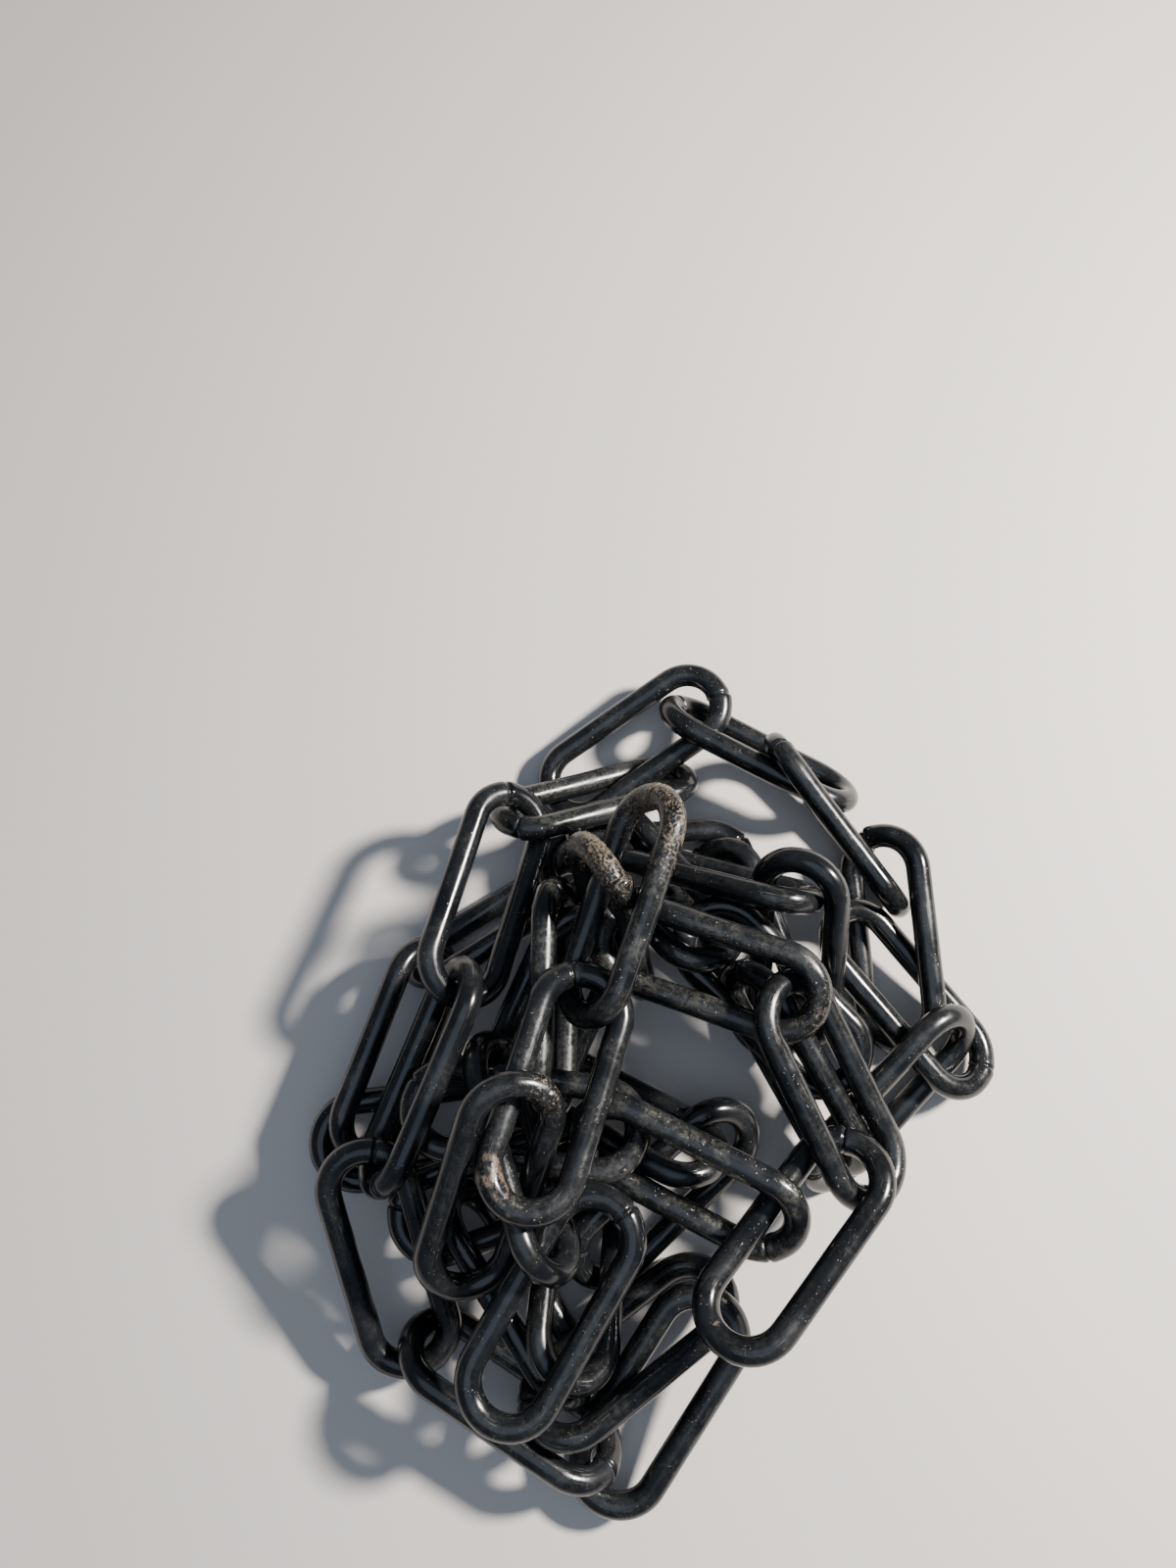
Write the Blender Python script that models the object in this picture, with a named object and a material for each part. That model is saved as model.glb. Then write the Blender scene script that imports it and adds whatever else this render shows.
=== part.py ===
import math

import bpy
import numpy as np
from mathutils import Matrix

# A length of long-link steel chain dropped in a heap on a level floor.
# Each link is one closed loop of round wire and hangs loose in its neighbours.

MM = 0.001

WIRE_DIAMETER = 8.0 * MM
INNER_LENGTH = 60.0 * MM
INNER_WIDTH = 16.0 * MM
CLEARANCE = 0.35 * MM

BOW_STEPS = 8
LEG_STEPS = 4
WIRE_SIDES = 10

BOW_RADIUS = (INNER_WIDTH + WIRE_DIAMETER) / 2
HALF_LEG = (INNER_LENGTH - INNER_WIDTH) / 2

# The lay was read for a link 60 mm long inside, so its places follow the link size.
LAY_UNIT = INNER_LENGTH / 60

STEEL_COLOUR = (0.022, 0.026, 0.030, 1.0)
STEEL_METALLIC = 0.55
STEEL_ROUGHNESS = 0.34

# Links in threading order.  For each: the plan place and height of the crown of one bow,
# those of the other bow, in lay units, and the roll of the link about its length in degrees.
LAY = (
    ("link_01", (-39, -10, 5), (-103, -11, 10), 0),
    ("link_02", (-94, -14, 12), (-76, 38, 16), 50),
    ("link_03", (-77, 33, 12), (-37, 75, 12), -40),
    ("link_04", (-39, 83, 10), (29, 75, 12), 10),
    ("link_05", (25, 74, 17), (41, 17, 15), 50),
    ("link_06", (38, 25, 20), (59, 64, 42), 0),
    ("link_07", (50, 54, 42), (-12, 80, 24), 60),
    ("link_08", (-33, 82, 27), (21, 54, 31), -35),
    ("link_09", (18, 53, 34), (58, 6, 32), 0),
    ("link_10", (43, 33, 30), (58, -23, 22), 60),
    ("link_11", (56, -23, 20), (89, 27, 26), 58),
    ("link_12", (101, 20, 19), (46, 45, 18), 42),
    ("link_13", (84, 16, 12), (76, 79, 20), -34),
    ("link_14", (74, 53, 16), (46, 108, 25), 78),
    ("link_15", (64, 100, 14), (10, 134, 14), 59),
    ("link_16", (24, 134, 14), (-37, 104, 5), 0),
    ("link_17", (17, 101, 14), (-52, 87, 22), 44),
    ("link_18", (-48, 93, 24), (-57, 31, 36), -35),
    ("link_19", (-56, 33, 42), (-86, -29, 36), 50),
    ("link_20", (-94, -18, 32), (-73, -76, 14), 0),
    ("link_21", (-76, -76, 12), (-17, -108, 14), -45),
    ("link_22", (-21, -111, 12), (12, -57, 20), 0),
    ("link_23", (21, -53, 8), (-31, -90, 20), 45),
    ("link_24", (-35, -81, 15), (-63, -40, 14), 50),
    ("link_25", (-66, -43, 14), (-22, -22, 15), -8),
    ("link_26", (-35, -24, 24), (-21, -79, 25), -40),
    ("link_27", (-28, -41, 16), (30, -10, 22), 20),
    ("link_28", (23, -5, 22), (-41, 12, 18), 20),
    ("link_29", (-39, -1, 9), (-25, 55, 38), 0),
    ("link_30", (-18, 66, 37), (-53, 2, 43), -80),
    ("link_31", (-67, 7, 34), (-14, -19, 44), -15),
    ("link_32", (-29, -19, 44), (39, -34, 44), 18),
    ("link_33", (16, -67, 50), (58, -13, 42), 4),
    ("link_34", (63, -31, 38), (35, 30, 50), 26),
    ("link_35", (42, 22, 45), (-23, 48, 42), -36),
    ("link_36", (-13, 36, 14), (-8, 74, 71), -50),
    ("link_37", (-4, 86, 64), (-16, 22, 60), 50),
    ("link_38", (-24, 30, 57), (-47, -32, 60), -8),
    ("link_39", (-65, -60, 26), (-52, -2, 63), 20),
    ("link_40", (-52, 13, 39), (-21, -44, 46), -66),
    ("link_41", (-11, -34, 52), (-48, -87, 42), -4),
)

# These lie out of sight inside the heap, and give way to the ones that the lay was read from.
BURIED = ("link_03", "link_04", "link_05", "link_08", "link_10", "link_12", "link_24",
          "link_25", "link_26", "link_27", "link_28", "link_29", "link_30", "link_31")


def link_outline(leg_steps):
    """Corners of a link's centre line, lying along X in its own plane."""
    corners = []
    for side in (1, -1):
        for step in range(BOW_STEPS + 1):
            angle = math.radians(180 * step / BOW_STEPS - 90)
            corners.append((side * (HALF_LEG + BOW_RADIUS * math.cos(angle)),
                            side * BOW_RADIUS * math.sin(angle), 0.0))
        for step in range(1, leg_steps):
            corners.append((side * HALF_LEG * (1 - 2 * step / leg_steps), side * BOW_RADIUS, 0.0))
    return np.array(corners)


def laid_frame(first, second, roll):
    """Axes of a link: along its length, across its width and out of its plane."""
    along = np.subtract(second, first)
    along = along / np.linalg.norm(along)
    level = np.cross((0.0, 0.0, 1.0), along)
    level = level / np.linalg.norm(level)
    upward = np.cross(along, level)
    angle = math.radians(roll)
    across = level * math.cos(angle) + upward * math.sin(angle)
    return np.column_stack((along, across, np.cross(along, across)))


def nearest_points(start_a, end_a, start_b, end_b):
    """Nearest points of two rows of straight pieces, pair by pair."""
    line_a, line_b, between = end_a - start_a, end_b - start_b, start_a - start_b
    aa, bb, ab = (line_a * line_a).sum(1), (line_b * line_b).sum(1), (line_a * line_b).sum(1)
    to_a, to_b = (line_a * between).sum(1), (line_b * between).sum(1)
    spread = aa * bb - ab * ab
    flat = spread < 1e-18
    share_a = np.where(flat, 0.5, np.clip((ab * to_b - to_a * bb) / np.where(flat, 1, spread), 0, 1))
    share_b = (ab * share_a + to_b) / bb
    share_a = np.where(share_b < 0, np.clip(-to_a / aa, 0, 1), share_a)
    share_a = np.where(share_b > 1, np.clip((ab - to_a) / aa, 0, 1), share_a)
    share_b = np.clip(share_b, 0, 1)
    return start_a + line_a * share_a[:, None], start_b + line_b * share_b[:, None]


def turned(frames, spins):
    """Frames turned by small rotation vectors."""
    angles = np.linalg.norm(spins, axis=1)
    axes = spins / np.maximum(angles, 1e-12)[:, None]
    cross = np.zeros((len(spins), 3, 3))
    cross[:, 0, 1], cross[:, 0, 2] = -axes[:, 2], axes[:, 1]
    cross[:, 1, 0], cross[:, 1, 2] = axes[:, 2], -axes[:, 0]
    cross[:, 2, 0], cross[:, 2, 1] = -axes[:, 1], axes[:, 0]
    sine, rest = np.sin(angles)[:, None, None], (1 - np.cos(angles))[:, None, None]
    return (np.eye(3) + sine * cross + rest * (cross @ cross)) @ frames


def squared(frames):
    basis, upper = np.linalg.qr(frames)
    return basis * np.sign(np.einsum("nii->ni", upper))[:, None, :]


# How the laid links are seated, with the moves of one round.
THREAD = 1.0 * MM
SWELL = 0.02 * MM
SQUEEZE = 0.6 * MM
PUSH_LIMIT = 0.4 * MM
MOVE_LIMIT = 0.3 * MM
LOOSE = 0.02 * MM
SINK = 0.02 * MM
HOME_PULL = 0.01
SEEN_PULL = 2.0
SEEN_GIVE = 0.5
RISE_SHARE = 0.1
PULL_LIMIT = 0.08 * MM
TURN_LIMIT = 0.004
CROWD = 1.5
FADE_START = 700
FADE_END = 2200
SETTLE_ROUNDS = 100
MOST_ROUNDS = 3500
SEARCH_ROUNDS = 8
SEARCH_MARGIN = 5.0 * MM
SQUARING_ROUNDS = 50


def seated(centres, frames, buried):
    """Rest the laid links on the floor and on each other without crossing any wire.

    The links start as thin threads along their centre lines.  They swell to the wire size only
    while none is squeezed, so no link slips through another and the chain stays threaded.
    Each is pushed off whatever it meets, sinks, and is drawn back to where it was laid.
    The buried ones give more way and are drawn back less.
    """
    outline = link_outline(LEG_STEPS)
    count = len(centres)
    owner = np.repeat(np.arange(count), len(outline))
    home_centres, home_frames = centres.copy(), frames.copy()
    full_reach = WIRE_DIAMETER + CLEARANCE
    search_limit = 2 * HALF_LEG / LEG_STEPS + full_reach + SEARCH_MARGIN
    arm = HALF_LEG ** 2
    give = np.where(buried, 1.0, SEEN_GIVE)
    pull = HOME_PULL * np.where(buried, 1.0, SEEN_PULL)[:, None]
    reach = THREAD
    settled = 0
    for step in range(MOST_ROUNDS):
        corners = centres[:, None, :] + np.einsum("nij,mj->nmi", frames, outline)
        starts, ends = corners.reshape(-1, 3), np.roll(corners, -1, axis=1).reshape(-1, 3)
        if step % SEARCH_ROUNDS == 0:
            middles = (starts + ends) / 2
            square = (middles * middles).sum(1)
            apart = square[:, None] + square[None, :] - 2 * middles @ middles.T
            near_a, near_b = np.nonzero(np.triu(apart < search_limit ** 2, 1))
            other = owner[near_a] != owner[near_b]
            near_a, near_b = near_a[other], near_b[other]
        touch_a, touch_b = nearest_points(starts[near_a], ends[near_a], starts[near_b], ends[near_b])
        gap = touch_b - touch_a
        distance = np.linalg.norm(gap, axis=1)
        hit = distance < reach
        touch_a, touch_b, gap, distance = touch_a[hit], touch_b[hit], gap[hit], distance[hit]
        link_a, link_b = owner[near_a[hit]], owner[near_b[hit]]
        normal = gap / np.maximum(distance, 1e-9)[:, None]
        depth = reach - distance
        lever_a = np.cross(touch_a - centres[link_a], normal)
        lever_b = np.cross(touch_b - centres[link_b], normal)
        weight = give[link_a] * (1 + (lever_a ** 2).sum(1) / arm)
        weight = weight + give[link_b] * (1 + (lever_b ** 2).sum(1) / arm)
        push = np.minimum(depth, PUSH_LIMIT) / weight
        low = np.nonzero(starts[:, 2] < WIRE_DIAMETER / 2)[0]
        low_link, low_depth = owner[low], WIRE_DIAMETER / 2 - starts[low, 2]
        low_arm = starts[low] - centres[low_link]
        low_lever = np.column_stack((low_arm[:, 1], -low_arm[:, 0], np.zeros(len(low))))
        low_push = np.minimum(low_depth, PUSH_LIMIT) / (1 + (low_lever ** 2).sum(1) / arm)

        # The deepest contact of a link counts in full, and lighter ones by their share of it.
        deepest = np.full(count, 1e-9)
        np.maximum.at(deepest, link_a, depth)
        np.maximum.at(deepest, link_b, depth)
        np.maximum.at(deepest, low_link, low_depth)
        move, spin, share = np.zeros((count, 3)), np.zeros((count, 3)), np.zeros(count)
        for link, lever, sign in ((link_a, lever_a, -1), (link_b, lever_b, 1)):
            part = depth / deepest[link]
            step_away = sign * push * part * give[link]
            np.add.at(move, link, normal * step_away[:, None])
            np.add.at(spin, link, lever * step_away[:, None] / arm)
            np.add.at(share, link, part)
        part = low_depth / deepest[low_link]
        np.add.at(move[:, 2], low_link, low_push * part)
        np.add.at(spin, low_link, low_lever * (low_push * part / arm)[:, None])
        np.add.at(share, low_link, part)
        crowding = (CROWD / np.maximum(share, CROWD))[:, None]
        move, spin = move * crowding, spin * crowding

        if reach >= full_reach:
            settled += 1
        elif deepest.max() < SQUEEZE:
            reach = min(full_reach, reach + SWELL)
        if settled < SETTLE_ROUNDS:
            late = np.clip((FADE_END - step) / (FADE_END - FADE_START), 0.0, 1.0)
            fade = min(late, 1.0 - settled / SETTLE_ROUNDS)
            back = (home_centres - centres) * pull * fade
            back[:, 2] = back[:, 2] * RISE_SHARE - SINK * fade
            twist = sum(np.cross(frames[:, :, axis], home_frames[:, :, axis]) for axis in range(3))
            ease = np.clip(1.0 - deepest / SQUEEZE, 0.0, 1.0)[:, None]
            move += np.clip(back * ease, -PULL_LIMIT, PULL_LIMIT)
            spin += np.clip(twist * ease * pull * fade / 2, -TURN_LIMIT, TURN_LIMIT)
        travel = np.linalg.norm(move, axis=1) + np.linalg.norm(spin, axis=1) * HALF_LEG
        slow = np.minimum(1.0, MOVE_LIMIT / np.maximum(travel, 1e-9))[:, None]
        centres, frames = centres + move * slow, turned(frames, spin * slow)
        if step % SQUARING_ROUNDS == 0:
            frames = squared(frames)
        if settled > SETTLE_ROUNDS and deepest.max() < LOOSE:
            break
    return centres, squared(frames)


def steel_material(name):
    material = bpy.data.materials.new(name)
    material.use_nodes = True
    shader = material.node_tree.nodes["Principled BSDF"]
    shader.inputs["Base Color"].default_value = STEEL_COLOUR
    shader.inputs["Metallic"].default_value = STEEL_METALLIC
    shader.inputs["Roughness"].default_value = STEEL_ROUGHNESS
    return material


def link_curve(name):
    """A closed round-wire loop, as a curve with a round bevel."""
    curve = bpy.data.curves.new(name, "CURVE")
    curve.dimensions = "3D"
    curve.bevel_depth = WIRE_DIAMETER / 2
    curve.bevel_resolution = (WIRE_SIDES - 4) // 2
    outline = link_outline(1)
    spline = curve.splines.new("POLY")
    spline.points.add(len(outline) - 1)
    for point, corner in zip(spline.points, outline):
        point.co = (*corner, 1.0)
    spline.use_cyclic_u = True
    curve.materials.append(steel_material(name + "_steel"))
    return curve


for old in list(bpy.data.objects):
    bpy.data.objects.remove(old)

heap = bpy.data.collections.new("chain_heap")
bpy.context.scene.collection.children.link(heap)

laid_centres = []
laid_frames = []
for name, first, second, roll in LAY:
    laid_centres.append((np.array(first) + np.array(second)) / 2 * LAY_UNIT)
    laid_frames.append(laid_frame(first, second, roll))
buried = np.array([row[0] in BURIED for row in LAY])
centres, frames = seated(np.array(laid_centres), np.array(laid_frames), buried)

corners = centres[:, None, :] + np.einsum("nij,mj->nmi", frames, link_outline(1))
middle = (corners.reshape(-1, 3).max(0) + corners.reshape(-1, 3).min(0)) / 2
lowest = corners[:, :, 2].min() - WIRE_DIAMETER / 2
centres = centres - np.array((middle[0], middle[1], lowest))

for row, centre, frame in zip(LAY, centres, frames):
    link = bpy.data.objects.new(row[0], link_curve(row[0]))
    heap.objects.link(link)
    link.location = centre
    link.rotation_euler = Matrix(frame).to_euler()
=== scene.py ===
import math
import random

import bmesh
import bpy
import numpy as np
from mathutils import Matrix, Vector, noise


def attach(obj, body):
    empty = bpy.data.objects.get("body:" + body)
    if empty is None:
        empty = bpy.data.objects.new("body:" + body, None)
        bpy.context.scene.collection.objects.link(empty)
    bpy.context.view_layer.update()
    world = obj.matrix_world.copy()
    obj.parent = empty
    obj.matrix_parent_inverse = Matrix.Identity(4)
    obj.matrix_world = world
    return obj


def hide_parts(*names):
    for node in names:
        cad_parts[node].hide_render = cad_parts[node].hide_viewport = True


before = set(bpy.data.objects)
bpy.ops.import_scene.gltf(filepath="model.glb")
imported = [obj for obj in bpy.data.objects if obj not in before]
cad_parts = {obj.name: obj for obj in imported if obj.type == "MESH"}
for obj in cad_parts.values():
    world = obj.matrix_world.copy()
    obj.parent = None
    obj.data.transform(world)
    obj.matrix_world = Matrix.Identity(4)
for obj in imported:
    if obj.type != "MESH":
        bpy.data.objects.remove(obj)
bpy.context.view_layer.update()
print("frame loaded with", len(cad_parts), "links")


# socket maths for the materials, all in one small class
class Socket:
    def __init__(self, tree, link):
        self.tree = tree
        self.link = link

    def node(self, kind, settings=None, inputs=None, output=0):
        made = self.tree.nodes.new(kind)
        for name, value in (settings or {}).items():
            setattr(made, name, value)
        for name, value in (inputs or {}).items():
            socket = made.inputs[name]
            if isinstance(value, Socket):
                self.tree.links.new(value.link, socket)
            else:
                socket.default_value = value
        return Socket(self.tree, made.outputs[output])

    def maths(self, operation, first, second, clamp=False):
        settings = {"operation": operation, "use_clamp": clamp}
        return self.node("ShaderNodeMath", settings, {0: first, 1: second})

    def __add__(self, other):
        return self.maths("ADD", self, other)

    def __radd__(self, other):
        return self.maths("ADD", other, self)

    def __sub__(self, other):
        return self.maths("SUBTRACT", self, other)

    def __rsub__(self, other):
        return self.maths("SUBTRACT", other, self)

    def __mul__(self, other):
        return self.maths("MULTIPLY", self, other)

    def __rmul__(self, other):
        return self.maths("MULTIPLY", other, self)

    def clamped(self):
        return self.maths("ADD", self, 0.0, clamp=True)

    def above(self, low, high):
        # 0 below low, 1 above high, smooth between
        return self.node("ShaderNodeMapRange", {"interpolation_type": "SMOOTHSTEP"},
                         {"Value": self, "From Min": low, "From Max": high})

    def between(self, first, second):
        return self.node("ShaderNodeMix", {"data_type": "RGBA"},
                         {0: self, 6: first, 7: second}, output=2)

    def stretched(self, scale):
        return self.node("ShaderNodeVectorMath", {"operation": "MULTIPLY"}, {0: self, 1: scale})

    def grain(self, scale, detail, roughness):
        return self.node("ShaderNodeTexNoise", {}, {"Vector": self, "Scale": scale,
                                                    "Detail": detail, "Roughness": roughness})


# The finish is glossy black enamel with a film of dust, worn through to brown where it rubs.
# It is laid on in layers. An edge says where a layer's mask begins and where it is full. The
# layer takes its share of the colour, dulls the gloss, and stands out, or sinks in if below 0.

# patterns that follow the wire, each with its scale, detail and roughness
patterns = {
    "clouds": (70, 3, 0.5),
    "ripple": (420, 3, 0.5),
    "patches": (110, 2, 0.5),
    "film": (520, 6, 0.72),
    "grit": (1500, 1, 0.5),
    "gritClouds": (180, 2, 0.5),
    "fine": (1300, 3, 0.65),
    "ragged": (330, 6, 0.62),
    "rustClouds": (700, 4, 0.7),
}
# how far a side faces up where dust begins to lie on it, and where it lies in full
upEdge = (0.15, 0.95)


def readWire(start):
    # wirePlace: along the wire from the joint, then out of the link and up, round the wire
    place = start.node("ShaderNodeAttribute", {"attribute_name": "wirePlace"}, output="Vector")
    wire = {"place": place}
    for name in ("inside", "bow", "nearJoint", "dustShare", "worn", "mottled"):
        wire[name] = start.node("ShaderNodeAttribute", {"attribute_name": name}, output="Fac")
    for name, (scale, detail, roughness) in patterns.items():
        wire[name] = place.grain(scale, detail, roughness)
    normal = start.node("ShaderNodeNewGeometry", output="Normal")
    facingUp = start.node("ShaderNodeSeparateXYZ", {}, {0: normal}, output="Z")
    wire["up"] = facingUp.above(*upEdge)
    wire["bearing"] = wire["inside"] * wire["bow"]
    return wire


def blend(wire, parts):
    # patterns added up, each by its own part
    return sum(wire[name] * part for name, part in parts.items())


# the paint itself, a little thinner and duller in clouds
paint = {
    "deep": (0.0035, 0.0040, 0.0050, 1),
    "thin": (0.0090, 0.0100, 0.0120, 1),
    "thinEdge": (0.35, 0.70),
    "gloss": 0.16,
    "dullGloss": 0.32,
    "dullEdge": (0.40, 0.75),
    "metal": 0.10,
    "ripple": 0.25,
    "bumpStrength": 0.5,
    "bumpHeight": 0.00016,
}


# fine scratches, drawn out along the wire
scratches = {
    "colour": (0.100, 0.102, 0.104, 1),
    "share": 0.60,
    "dulls": 0.15,
    "stands": -0.12,
    "stretch": (120, 2600, 2600),
    "streaks": (1, 2, 0.6),
    "streakEdge": (0.63, 0.70),
    "patchEdge": (0.46, 0.62),
}


def scratchMask(wire):
    streaks = wire["place"].stretched(scratches["stretch"]).grain(*scratches["streaks"])
    patches = wire["patches"].above(*scratches["patchEdge"])
    return streaks.above(*scratches["streakEdge"]) * patches


# a film of dust on the sides that face up
dust = {
    "colour": (0.098, 0.094, 0.076, 1),
    "share": 0.60,
    "dulls": 0.25,
    "stands": 0.30,
    "filmEdge": (0.36, 0.72),
    "patchEdge": (0.30, 0.62),
}


def dustMask(wire):
    film = wire["film"].above(*dust["filmEdge"])
    patches = wire["patches"].above(*dust["patchEdge"])
    return (wire["up"] * wire["dustShare"] * film * patches).clamped()


# grit and pits the size of a pinprick, most of them where dust lies
specks = {
    "colour": (0.36, 0.34, 0.29, 1),
    "share": 1.0,
    "dulls": 0.30,
    "stands": 0.35,
    "gritEdge": (0.695, 0.745),
    "cloudEdge": (0.44, 0.68),
    "everywhere": 0.15,
}


def speckMask(wire):
    grit = wire["grit"].above(*specks["gritEdge"])
    clouds = wire["gritClouds"].above(*specks["cloudEdge"])
    return grit * clouds * (specks["everywhere"] + wire["dustShare"] * wire["up"])


# worn through to brown rust in ragged patches, and speckled golden brown on bows that stick up
rust = {
    "dark": (0.050, 0.034, 0.020, 1),
    "light": (0.310, 0.235, 0.155, 1),
    "lightEdge": (0.35, 0.70),
    "share": 0.92,
    "dulls": 0.30,
    "stands": -0.45,
    "metalLoss": 0.10,
    "patches": {"ragged": 0.60, "film": 0.20, "worn": 0.34},
    "patchEdge": (0.58, 0.72),
    "speckles": {"fine": 0.70, "film": 0.30, "mottled": 0.16},
    "speckleEdge": (0.60, 0.66),
    "mottledEdge": (0.05, 0.40),
    "speckleShare": 0.80,
}


def rustMask(wire):
    patches = blend(wire, rust["patches"]).above(*rust["patchEdge"])
    speckles = blend(wire, rust["speckles"]).above(*rust["speckleEdge"])
    speckles = speckles * wire["mottled"].above(*rust["mottledEdge"])
    return (patches + speckles * rust["speckleShare"]).clamped()


def rustTone(wire):
    return wire["rustClouds"].above(*rust["lightEdge"]).between(rust["dark"], rust["light"])


# steel rubbed bare at the joint and where links bear on each other
bareSteel = {
    "colour": (0.300, 0.285, 0.260, 1),
    "share": 0.40,
    "dulls": 0.0,
    "stands": -0.20,
    "metal": 0.50,
    "rubbed": {"ragged": 0.60, "bearing": 0.20, "nearJoint": 0.10},
    "rubbedEdge": (0.57, 0.64),
}


def bareMask(wire):
    return blend(wire, bareSteel["rubbed"]).above(*bareSteel["rubbedEdge"])


def layOn(look, layer, mask, colour, relief):
    # a look is a colour, a roughness and a height
    below, roughness, height = look
    tinted = (mask * layer["share"]).between(below, colour)
    return tinted, roughness + mask * layer["dulls"], height + relief * layer["stands"]


def blackEnamel():
    material = bpy.data.materials.new("blackEnamel")
    material.use_nodes = True
    tree = material.node_tree
    wire = readWire(Socket(tree, None))

    thin = wire["clouds"].above(*paint["thinEdge"])
    dull = wire["clouds"].above(*paint["dullEdge"])
    look = (thin.between(paint["deep"], paint["thin"]),
            paint["gloss"] + (paint["dullGloss"] - paint["gloss"]) * dull,
            wire["ripple"] * paint["ripple"])

    scratched, dusted, specked = scratchMask(wire), dustMask(wire), speckMask(wire)
    rusted, bare = rustMask(wire), bareMask(wire)
    look = layOn(look, scratches, scratched, scratches["colour"], scratched)
    look = layOn(look, dust, dusted, dust["colour"], dusted * wire["film"])
    look = layOn(look, specks, specked, specks["colour"], specked)
    look = layOn(look, rust, rusted, rustTone(wire), rusted)
    look = layOn(look, bareSteel, bare, bareSteel["colour"], bare)

    colour, roughness, height = look
    metal = paint["metal"] + bare * bareSteel["metal"] - rusted * rust["metalLoss"]
    bump = height.node("ShaderNodeBump", {}, {"Strength": paint["bumpStrength"],
                                              "Distance": paint["bumpHeight"],
                                              "Height": height})
    shader = tree.nodes["Principled BSDF"]
    tree.links.new(colour.link, shader.inputs["Base Color"])
    tree.links.new(roughness.clamped().link, shader.inputs["Roughness"])
    tree.links.new(metal.clamped().link, shader.inputs["Metallic"])
    tree.links.new(bump.link, shader.inputs["Normal"])
    return material


# one link: a round wire bent to a long loop, closed by a butt joint on a bow
link = {
    "wire": 0.0079,
    "bowRadius": 0.012,
    "halfLeg": 0.022,
    "wireSides": 28,
    "bowStep": 7.5,
    "legSteps": 14,
    # degrees between rings on each side of the joint
    "jointRings": (1.4, 1.6, 2.5, 4.0, 6.0),
    "mergeReach": 0.00002,
    "grooveDepth": 0.00075,
    "grooveWidth": 0.00042,
    "bulge": 0.00022,
    "bulgeLength": 0.0022,
    "stepLength": 0.0050,
    # rings this near the joint's middle stay in line
    "jointLine": 0.0001,
    # how far bare steel reaches from the joint
    "jointReach": 0.004,
    # length over which a leg turns into a bow in the finish
    "bowBlend": 0.010,
    "unevenness": 0.00007,
    "lumpsAlong": 90,
    "lumpsAcross": 160,
    "legBend": 0.00012,
    # what keeps lumps, patterns and chances of one link apart from the next one's
    "lumpShift": 7.3,
    "patternShift": 0.37,
    "firstChance": 1000,
}

# which bow has the joint, how far from its crown in degrees, and how far its ends are out of line
jointPlaces = {
    "link_13": ("far", 20, 0.0009),
    "link_16": ("far", -18, 0.0005),
    "link_18": ("far", 24, 0.0004),
    "link_33": ("far", 28, 0.0004),
    "link_36": ("far", -48, 0.0012),
    "link_37": ("far", -6, 0.0003),
    "link_38": ("far", 30, 0.0004),
    "link_39": ("far", -30, 0.0009),
    "link_41": ("far", -22, 0.0005),
}
# the same for the other links, by chance within these limits
usualJoint = {"turn": (12, 50), "misfit": (0.0002, 0.0007)}

# links that lie dustier than the rest, where the sky and the grit reach them
dusty = {
    "link_17": 0.8,
    "link_30": 0.9,
    "link_31": 0.7,
    "link_32": 1.1,
    "link_34": 0.4,
    "link_35": 0.8,
    "link_36": 1.0,
    "link_37": 0.7,
    "link_38": 0.5,
}
usualDust = 0.30

# worn spots: the bow they are on, degrees round it from its crown, reach and strength
wornSpots = {
    "link_15": [("near", 0, 0.005, 0.4)],
    "link_17": [("far", 70, 0.004, 0.8)],
    "link_32": [("near", -80, 0.008, 0.6)],
    "link_33": [("near", -20, 0.006, 0.7), ("near", 45, 0.004, 0.5)],
    "link_38": [("near", -62, 0.010, 0.85), ("near", -15, 0.009, 0.65)],
    "link_40": [("far", -40, 0.005, 0.9)],
}
# speckled spots, the same way as the worn ones
mottledSpots = {
    "link_35": [("near", 0, 0.010, 0.5)],
    "link_36": [("far", 0, 0.016, 1.0)],
    "link_37": [("far", 10, 0.016, 1.0), ("far", -70, 0.016, 0.7)],
    "link_39": [("far", -30, 0.007, 0.7)],
}
# edges chipped along a leg: which leg, from and to along it, and strength
chippedEdges = {"link_32": [(-1, -0.016, 0.010, 1.0)]}
# such an edge's height over the wire's core and its width, in half wires, and how it fades out
chip = {"rise": 0.50, "width": 0.35, "fade": 0.0030}


def linkPose(node, bowName):
    # the CAD link's own axes: along it to the joint's bow, across it, and out of its plane upwards
    corners = np.round([list(v.co) for v in node.data.vertices], decimals=5)
    spots = np.unique(corners, axis=0)
    centre = spots.mean(0)
    axes = np.linalg.eigh(np.cov((spots - centre).T))[1]
    along, normal = Vector(axes[:, 2]), Vector(axes[:, 0])
    if (along.y > 0) != (bowName == "far"):
        along.negate()
    if normal.z < 0:
        normal.negate()
    across = normal.cross(along)
    pose = Matrix((along, across, normal)).transposed().to_4x4()
    pose.translation = Vector(centre)
    return pose


def spinRing(mesh, ring, hub, degrees, steps):
    turned = bmesh.ops.spin(mesh, geom=ring, cent=hub, axis=(0, 0, 1), dvec=(0, 0, 0),
                            angle=math.radians(degrees), space=Matrix.Identity(4), steps=steps,
                            use_merge=False, use_normal_flip=False, use_duplicate=False)
    return turned["geom_last"]


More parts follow.
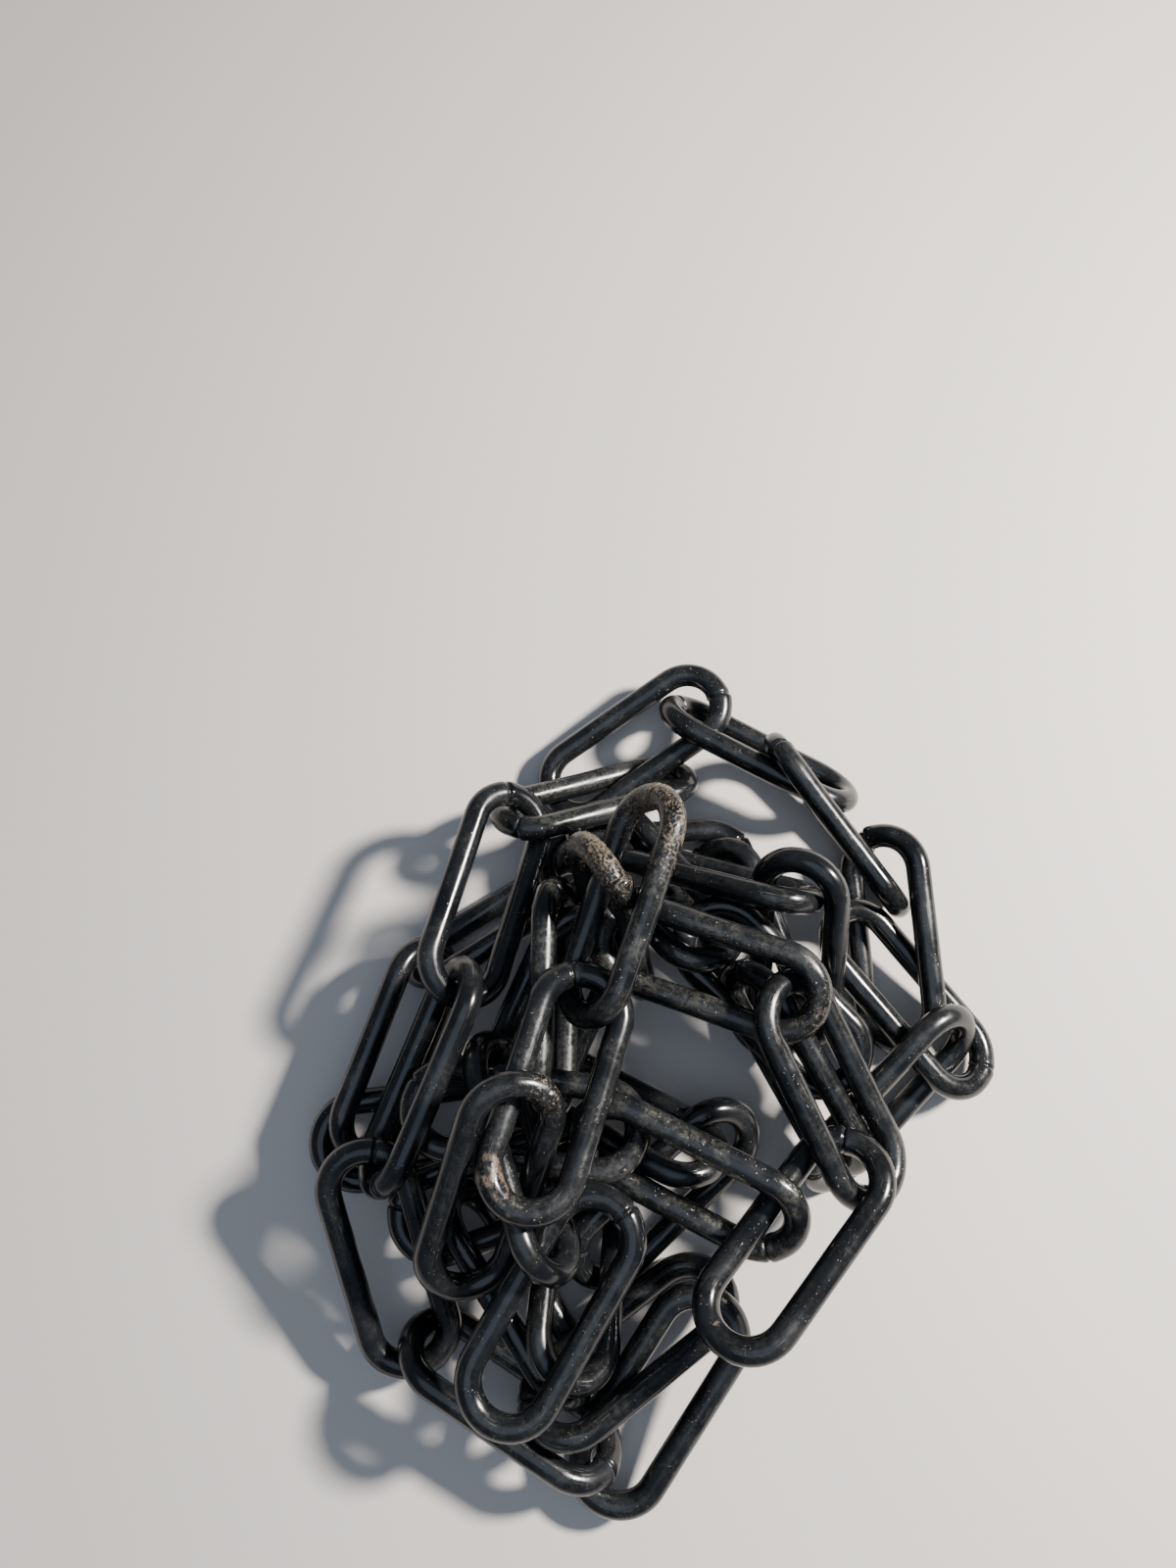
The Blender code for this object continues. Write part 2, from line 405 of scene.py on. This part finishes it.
def drawRing(mesh, ring, way, steps):
    for step in range(steps):
        edges = [part for part in ring if isinstance(part, bmesh.types.BMEdge)]
        drawn = bmesh.ops.extrude_edge_only(mesh, edges=edges)["geom"]
        verts = [part for part in drawn if isinstance(part, bmesh.types.BMVert)]
        bmesh.ops.translate(mesh, vec=way / steps, verts=verts)
        ring = verts + [part for part in drawn if isinstance(part, bmesh.types.BMEdge)
                        and all(v in verts for v in part.verts)]
    return ring


def bentWire(jointTurn):
    # starts with a ring at the joint, goes once round the loop, and ends at the joint again
    radius, halfLeg = link["bowRadius"], link["halfLeg"]
    nearHub, farHub = (halfLeg, 0, 0), (-halfLeg, 0, 0)
    fine = sum(link["jointRings"])
    mesh = bmesh.new()
    verts = bmesh.ops.create_circle(mesh, segments=link["wireSides"],
                                    radius=link["wire"] / 2)["verts"]
    stand = Matrix.Rotation(math.radians(jointTurn), 4, "Z") @ Matrix.Translation((radius, 0, 0))
    stand = Matrix.Translation(nearHub) @ stand @ Matrix.Rotation(math.radians(90), 4, "X")
    bmesh.ops.transform(mesh, matrix=stand, verts=verts)
    ring = list(mesh.verts) + list(mesh.edges)
    for degrees in link["jointRings"]:
        ring = spinRing(mesh, ring, nearHub, degrees, 1)
    rest = 90 - jointTurn - fine
    ring = spinRing(mesh, ring, nearHub, rest, math.ceil(rest / link["bowStep"]))
    ring = drawRing(mesh, ring, Vector((-2 * halfLeg, 0, 0)), link["legSteps"])
    ring = spinRing(mesh, ring, farHub, 180, round(180 / link["bowStep"]))
    ring = drawRing(mesh, ring, Vector((2 * halfLeg, 0, 0)), link["legSteps"])
    rest = 90 + jointTurn - fine
    ring = spinRing(mesh, ring, nearHub, rest, math.ceil(rest / link["bowStep"]))
    for degrees in reversed(link["jointRings"]):
        ring = spinRing(mesh, ring, nearHub, degrees, 1)
    bmesh.ops.remove_doubles(mesh, verts=mesh.verts, dist=link["mergeReach"])
    bmesh.ops.recalc_face_normals(mesh, faces=mesh.faces)
    return mesh


def alongWire(spot, jointTurn):
    # how far round the loop a spot lies from the joint, how long the loop is, how far the spot
    # lies out of the wire's core, and which way that is
    radius, halfLeg = link["bowRadius"], link["halfLeg"]
    quarter, leg = radius * math.pi / 2, 2 * halfLeg
    if abs(spot.x) <= halfLeg:
        side = 1 if spot.y > 0 else -1
        outward = Vector((0, side, 0))
        out = abs(spot.y) - radius
        if side > 0:
            length = quarter + halfLeg - spot.x
        else:
            length = 3 * quarter + leg + halfLeg + spot.x
    else:
        side = 1 if spot.x > 0 else -1
        arm = Vector((spot.x - side * halfLeg, spot.y, 0))
        outward = arm.normalized()
        out = arm.length - radius
        angle = math.atan2(arm.y, arm.x)
        if side > 0:
            length = radius * angle if angle >= 0 else 4 * quarter + 2 * leg + radius * angle
        else:
            length = leg + radius * (angle if angle >= 0 else angle + 2 * math.pi)
    total = 4 * quarter + 2 * leg
    length = (length - radius * math.radians(jointTurn)) % total
    return length, total, out, outward


def jointRelief(fromJoint, misfit):
    # a groove between two slightly swollen ends that don't quite meet in line
    groove = -link["grooveDepth"] * math.exp(-(fromJoint / link["grooveWidth"]) ** 2)
    swell = link["bulge"] * math.exp(-(fromJoint / link["bulgeLength"]) ** 2)
    shove = misfit / 2 * math.exp(-abs(fromJoint) / link["stepLength"])
    if abs(fromJoint) < link["jointLine"]:
        shove = 0
    return groove + swell, math.copysign(shove, fromJoint)


def lumpAt(length, out, up, serial):
    # hand-bent wire is never quite round
    across = link["lumpsAcross"]
    along = length * link["lumpsAlong"] + serial * link["lumpShift"]
    return link["unevenness"] * noise.noise(Vector((along, out * across, up * across)))


def shapeLink(mesh, jointTurn, misfit, chance, serial, dustShare):
    place = mesh.verts.layers.float_vector.new("wirePlace")
    layers = {name: mesh.verts.layers.float.new(name)
              for name in ("bow", "inside", "nearJoint", "dustShare")}
    # hand-bent legs are never quite straight, and the ends at the joint miss each other any way
    bend = [chance.uniform(-1, 1) * link["legBend"] for side in range(2)]
    twist = chance.uniform(-1, 1) * link["legBend"]
    sway = chance.uniform(0, 2 * math.pi)
    for vert in mesh.verts:
        length, total, out, outward = alongWire(vert.co, jointTurn)
        up = vert.co.z
        fromJoint = length if length < total / 2 else length - total
        away = (outward * out + Vector((0, 0, up))).normalized()
        pastLeg = abs(vert.co.x) - link["halfLeg"]
        vert[place] = (length + serial * link["patternShift"], out, up)
        vert[layers["bow"]] = min(1.0, max(0.0, pastLeg / link["bowBlend"] + 0.5))
        vert[layers["inside"]] = max(0.0, -away.dot(outward))
        vert[layers["nearJoint"]] = math.exp(-(fromJoint / link["jointReach"]) ** 2)
        vert[layers["dustShare"]] = dustShare
        relief, shove = jointRelief(fromJoint, misfit)
        reach = 1 - min(1.0, abs(vert.co.x) / link["halfLeg"]) ** 2
        side = 0 if vert.co.y > 0 else 1
        vert.co += away * (relief + lumpAt(length, out, up, serial))
        vert.co += (outward * math.cos(sway) + Vector((0, 0, math.sin(sway)))) * shove
        vert.co += Vector((0, bend[side] * reach, twist * reach))


def markSpots(mesh, layerName, node, spots):
    layer = mesh.verts.layers.float.new(layerName)
    radius, halfLeg = link["bowRadius"], link["halfLeg"]
    for bowName, degrees, reach, strength in spots:
        turn = math.radians(degrees)
        spot = Vector((halfLeg + radius * math.cos(turn), radius * math.sin(turn), 0))
        spot = linkPose(node, bowName) @ spot
        for vert in mesh.verts:
            share = strength * math.exp(-((vert.co - spot).length / reach) ** 2)
            vert[layer] = max(vert[layer], share)


def chipEdges(mesh, node, edges):
    layer = mesh.verts.layers.float["worn"]
    pose = linkPose(node, "far")
    into = pose.inverted()
    halfWire = link["wire"] / 2
    for side, low, high, strength in edges:
        for vert in mesh.verts:
            spot = into @ vert.co
            inward = link["bowRadius"] - side * spot.y
            if not 0 <= inward <= halfWire:
                continue
            core = pose @ Vector((spot.x, side * link["bowRadius"], 0))
            beside = ((vert.co.z - core.z) / halfWire - chip["rise"]) / chip["width"]
            past = max(low - spot.x, spot.x - high, 0.0) / chip["fade"]
            vert[layer] = max(vert[layer], strength * math.exp(-past ** 2 - beside ** 2))


def chanceJoint(chance):
    turn = chance.choice((-1, 1)) * chance.uniform(*usualJoint["turn"])
    bowName = chance.choice(("far", "near"))
    return bowName, turn, chance.uniform(*usualJoint["misfit"])


def makeLink(name, node, serial, finish):
    chance = random.Random(link["firstChance"] + serial)
    # drawn for every link, so that a joint listed in the table doesn't change the link's other
    # chances
    usual = chanceJoint(chance)
    bowName, jointTurn, misfit = jointPlaces.get(name, usual)
    mesh = bentWire(jointTurn)
    shapeLink(mesh, jointTurn, misfit, chance, serial, dusty.get(name, usualDust))
    bmesh.ops.transform(mesh, matrix=linkPose(node, bowName), verts=mesh.verts)
    markSpots(mesh, "worn", node, wornSpots.get(name, []))
    chipEdges(mesh, node, chippedEdges.get(name, []))
    markSpots(mesh, "mottled", node, mottledSpots.get(name, []))
    for face in mesh.faces:
        face.smooth = True
    data = bpy.data.meshes.new(name + "Wire")
    mesh.to_mesh(data)
    mesh.free()
    data.materials.append(finish)
    piece = bpy.data.objects.new(name + "Wire", data)
    bpy.context.scene.collection.objects.link(piece)
    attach(piece, "root")
    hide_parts(name)


finish = blackEnamel()
print("enamel mixed")
for serial, name in enumerate(sorted(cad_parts)):
    makeLink(name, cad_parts[name], serial, finish)
print("links bent and hung in their places")


# a plain pale floor
floor = {
    "size": 3.0,
    "colour": (0.60, 0.555, 0.52, 1),
    "roughness": 0.75,
}


def layFloor():
    mesh = bmesh.new()
    bmesh.ops.create_grid(mesh, x_segments=1, y_segments=1, size=floor["size"] / 2)
    data = bpy.data.meshes.new("floor")
    mesh.to_mesh(data)
    mesh.free()
    material = bpy.data.materials.new("paleFloor")
    material.use_nodes = True
    shader = material.node_tree.nodes["Principled BSDF"]
    shader.inputs["Base Color"].default_value = floor["colour"]
    shader.inputs["Roughness"].default_value = floor["roughness"]
    data.materials.append(material)
    ground = bpy.data.objects.new("floor", data)
    bpy.context.scene.collection.objects.link(ground)


# a small warm lamp high on the right, a wide cool one overhead, and a cool room
lamps = {
    "keyLight": {
        "place": (0.62, 0.20, 0.62),
        "size": 0.11,
        "power": 28,
        "colour": (1.0, 0.965, 0.91),
    },
    "skyLight": {
        "place": (-0.1, -0.25, 1.1),
        "size": 1.1,
        "power": 3.2,
        "colour": (0.66, 0.80, 1.0),
    },
}
room = {"colour": (0.68, 0.80, 1.0, 1), "strength": 0.22}


def hangLamp(name, lamp):
    data = bpy.data.lights.new(name, "AREA")
    data.shape = "DISK"
    data.size = lamp["size"]
    data.energy = lamp["power"]
    data.color = lamp["colour"]
    hung = bpy.data.objects.new(name, data)
    bpy.context.scene.collection.objects.link(hung)
    hung.location = lamp["place"]
    hung.rotation_euler = (-Vector(lamp["place"])).to_track_quat("-Z", "Y").to_euler()


def lightRoom():
    world = bpy.data.worlds.new("room")
    bpy.context.scene.world = world
    world.use_nodes = True
    background = world.node_tree.nodes["Background"]
    background.inputs["Color"].default_value = room["colour"]
    background.inputs["Strength"].default_value = room["strength"]


# held low over the heap, leaning a little away from straight down
camera = {
    "place": (-0.0225, -0.0246, 0.404),
    "lean": 16.5,
    "lens": 27.09,
    "sensor": 36.0,
    "nearest": 0.01,
}


def setCamera():
    data = bpy.data.cameras.new("camera")
    data.lens = camera["lens"]
    data.sensor_width = camera["sensor"]
    data.clip_start = camera["nearest"]
    view = bpy.data.objects.new("camera", data)
    bpy.context.scene.collection.objects.link(view)
    view.location = camera["place"]
    view.rotation_euler = (math.radians(camera["lean"]), 0, 0)
    bpy.context.scene.camera = view


layFloor()
for name, lamp in lamps.items():
    hangLamp(name, lamp)
lightRoom()
setCamera()
print("floor, lights and camera set")
